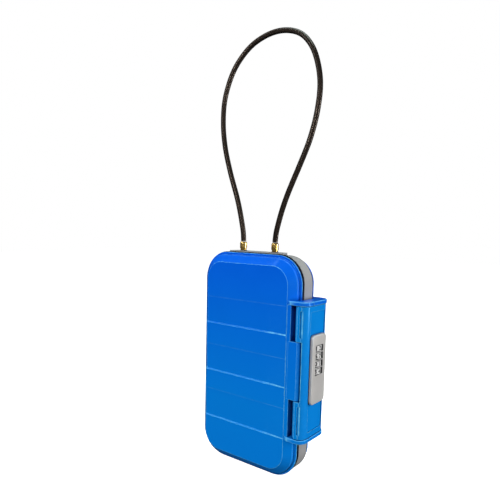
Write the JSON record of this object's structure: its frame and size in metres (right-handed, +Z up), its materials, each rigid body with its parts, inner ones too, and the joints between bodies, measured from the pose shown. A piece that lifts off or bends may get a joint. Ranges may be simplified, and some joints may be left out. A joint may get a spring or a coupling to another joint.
{
  "type": "portable cable-lock box",
  "caption": "Slim two-shell travel lock box with a hinged combination side latch and a steel cable shackle looped above it.",
  "frame": {"origin": "bottom centre of the whole object without its cable, on the surface that it stands on", "axes": "+X to the latch side, -Y out of the front cover, +Z up, towards the cable loop"},
  "size_m": [0.1142, 0.0415, 0.3651],
  "materials": {
    "blue_abs": "moulded ABS, semi-gloss, bright blue",
    "grey_abs": "moulded ABS, fine matt texture, warm light grey",
    "black_rubber": "soft moulded seal, matt black",
    "black_plastic": "moulded acetal, satin black",
    "satin_metal": "cast zinc with satin nickel plating",
    "coated_cable": "braided steel strands in smoky clear vinyl",
    "brass": "turned brass, light brushing",
    "steel": "zinc plated steel"
  },
  "bodies": {
    "case": {"rear_cover": "blue_abs", "mid_frame": "grey_abs", "rear_seal": "black_rubber", "frame_screw_1": "steel", "frame_screw_2": "steel", "frame_screw_3": "steel", "frame_screw_4": "steel", "case_hinge_pin": "steel", "bolt_keeper": "steel", "keeper_screw_1": "steel", "keeper_screw_2": "steel", "fixed_ferrule": "brass", "release_ferrule": "brass", "fixed_end_seal": "black_rubber", "release_end_seal": "black_rubber", "ferrule_nut": "steel", "ferrule_washer": "steel", "catch_guide": "black_plastic", "steel_cable": "coated_cable"},
    "cover": {"front_cover": "blue_abs", "front_seal": "black_rubber", "latch_hinge_pin": "steel"},
    "latch": {"latch_housing": "blue_abs", "lock_plate": "satin_metal", "lock_chassis": "black_plastic", "works_cover": "grey_abs", "dial_spindle": "steel", "detent_spring": "steel", "gate_bar": "steel", "gate_spring": "steel", "bolt_spring": "steel", "works_screw_1": "steel", "works_screw_2": "steel", "works_screw_3": "steel", "works_screw_4": "steel"},
    "bolt": {"lock_bolt": "steel"},
    "reset": {"reset_slide": "brass"},
    "catch": {"cable_catch": "steel"},
    "dial_1": {"number_dial_1": "satin_metal", "cam_sleeve_1": "brass"},
    "dial_2": {"number_dial_2": "satin_metal", "cam_sleeve_2": "brass"},
    "dial_3": {"number_dial_3": "satin_metal", "cam_sleeve_3": "brass"},
    "dial_4": {"number_dial_4": "satin_metal", "cam_sleeve_4": "brass"}
  },
  "joints": [
    {"name": "cover_hinge", "type": "hinge", "parent": "case", "child": "cover", "pos_m": [-0.05492, -0.002, 0.09], "axis": [0, 0, -1], "range_deg": [0, 175]},
    {"name": "latch_hinge", "type": "hinge", "parent": "cover", "child": "latch", "pos_m": [0.04668, -0.01425, 0.091], "axis": [0, 0, -1], "range_deg": [0, 95]},
    {"name": "dial_1_turn", "type": "hinge", "parent": "latch", "child": "dial_1", "pos_m": [0.05098, 0, 0.09125], "axis": [0, 0, 1], "continuous": true},
    {"name": "dial_2_turn", "type": "hinge", "parent": "latch", "child": "dial_2", "pos_m": [0.05098, 0, 0.09735], "axis": [0, 0, 1], "continuous": true},
    {"name": "dial_3_turn", "type": "hinge", "parent": "latch", "child": "dial_3", "pos_m": [0.05098, 0, 0.10345], "axis": [0, 0, 1], "continuous": true},
    {"name": "dial_4_turn", "type": "hinge", "parent": "latch", "child": "dial_4", "pos_m": [0.05098, 0, 0.10955], "axis": [0, 0, 1], "continuous": true},
    {"name": "bolt_slide", "type": "slide", "parent": "latch", "child": "bolt", "axis": [0, 0, -1], "range_m": [0, 0.0045]},
    {"name": "reset_travel", "type": "slide", "parent": "latch", "child": "reset", "axis": [0, 0, 1], "range_m": [0, 0.003]},
    {"name": "catch_slide", "type": "slide", "parent": "case", "child": "catch", "axis": [1, 0, 0], "range_m": [0, 0.0042], "stiffness_N_per_m": 200}
  ]
}
